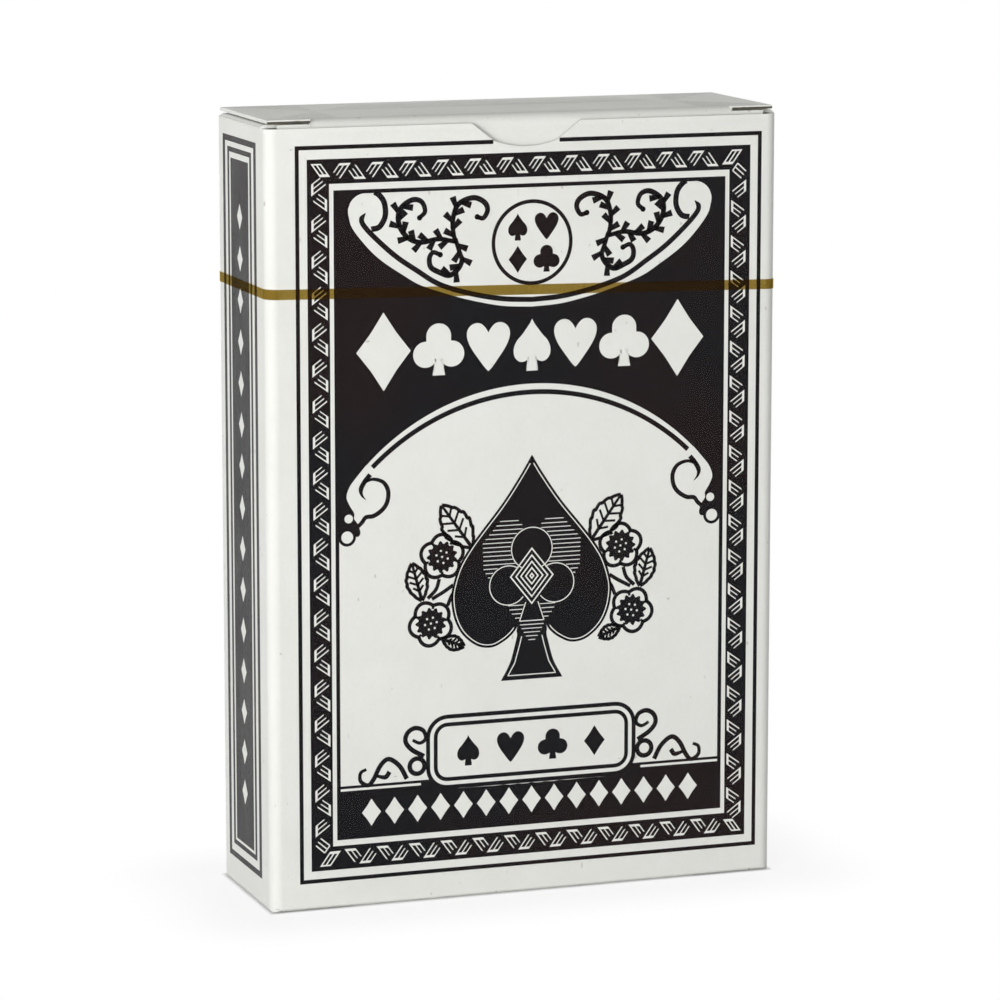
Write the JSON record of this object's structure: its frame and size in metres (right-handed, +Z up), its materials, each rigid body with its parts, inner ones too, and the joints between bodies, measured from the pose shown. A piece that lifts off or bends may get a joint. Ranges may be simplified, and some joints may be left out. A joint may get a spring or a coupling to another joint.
{
  "type": "playing card deck",
  "caption": "Pack of playing cards in a tuck-top paperboard carton with hinged lid and flaps, thumb notch, clear film wrap and gold tear tape.",
  "frame": {"origin": "middle of the carton's base, on the surface that it stands on", "axes": "+Z up towards the lid, X along the width, -Y out of the front panel with the thumb notch"},
  "size_m": [0.0622, 0.0199, 0.091],
  "materials": {
    "carton_board": "coated, satin",
    "clear_film": "gloss",
    "tear_tape": "gloss",
    "card_stock": "linen satin"
  },
  "bodies": {
    "carton": {"carton_sleeve": "carton_board", "glue_flap": "carton_board", "bottom_outer_flap": "carton_board", "bottom_inner_flap": "carton_board", "bottom_dust_left": "carton_board", "bottom_dust_right": "carton_board", "film_wrap": "clear_film", "film_base": "clear_film", "tear_tape": "tear_tape"},
    "lid": {"lid_panel": "carton_board", "film_top": "clear_film"},
    "tuck": {"tuck_flap": "carton_board"},
    "dust_left": {"top_dust_left": "carton_board"},
    "dust_right": {"top_dust_right": "carton_board"},
    "deck": {"jokers": "card_stock", "spades_ace": "card_stock", "spades_two": "card_stock", "spades_three": "card_stock", "spades_four": "card_stock", "spades_five": "card_stock", "spades_six": "card_stock", "spades_seven": "card_stock", "spades_eight": "card_stock", "spades_nine": "card_stock", "spades_ten": "card_stock", "hearts_ace": "card_stock", "hearts_two": "card_stock", "hearts_three": "card_stock", "hearts_four": "card_stock", "hearts_five": "card_stock", "hearts_six": "card_stock", "hearts_seven": "card_stock", "hearts_eight": "card_stock", "hearts_nine": "card_stock", "hearts_ten": "card_stock", "clubs_ace": "card_stock", "clubs_two": "card_stock", "clubs_three": "card_stock", "clubs_four": "card_stock", "clubs_five": "card_stock", "clubs_six": "card_stock", "clubs_seven": "card_stock", "clubs_eight": "card_stock", "clubs_nine": "card_stock", "clubs_ten": "card_stock", "diamonds_ace": "card_stock", "diamonds_two": "card_stock", "diamonds_three": "card_stock", "diamonds_four": "card_stock", "diamonds_five": "card_stock", "diamonds_six": "card_stock", "diamonds_seven": "card_stock", "diamonds_eight": "card_stock", "diamonds_nine": "card_stock", "diamonds_ten": "card_stock", "spades_court": "card_stock", "hearts_court": "card_stock", "clubs_court": "card_stock", "diamonds_court": "card_stock"},
    "tab": {"tear_tab": "tear_tape"}
  },
  "joints": [
    {"name": "lid_hinge", "type": "hinge", "parent": "carton", "child": "lid", "pos_m": [0, 0.00983, 0.09055], "axis": [-1, 0, 0], "range_deg": [0, 180], "deforming": ["tuck_flap"]},
    {"name": "tuck_fold", "type": "hinge", "parent": "lid", "child": "tuck", "pos_m": [0, -0.00798, 0.08975], "axis": [-1, 0, 0], "range_deg": [0, 60]},
    {"name": "dust_left_fold", "type": "hinge", "parent": "carton", "child": "dust_left", "pos_m": [-0.03095, 0, 0.09], "axis": [0, -1, 0], "range_deg": [0, 90]},
    {"name": "dust_right_fold", "type": "hinge", "parent": "carton", "child": "dust_right", "pos_m": [0.03095, 0, 0.09], "axis": [0, 1, 0], "range_deg": [0, 90]},
    {"name": "deck_slide", "type": "slide", "parent": "carton", "child": "deck", "axis": [0, 0, 1], "range_m": [0, 0.0006]},
    {"name": "tab_fold", "type": "hinge", "parent": "carton", "child": "tab", "pos_m": [0.012, 0.00992, 0.07055], "axis": [0.0209, 0, 0.9998], "range_deg": [0, 150]}
  ],
  "couplings": [
    {"joint": "tuck_fold", "follows": "lid_hinge", "ratio": 0.33333},
    {"joint": "dust_left_fold", "follows": "lid_hinge", "ratio": 0.5},
    {"joint": "dust_right_fold", "follows": "lid_hinge", "ratio": 0.5}
  ]
}
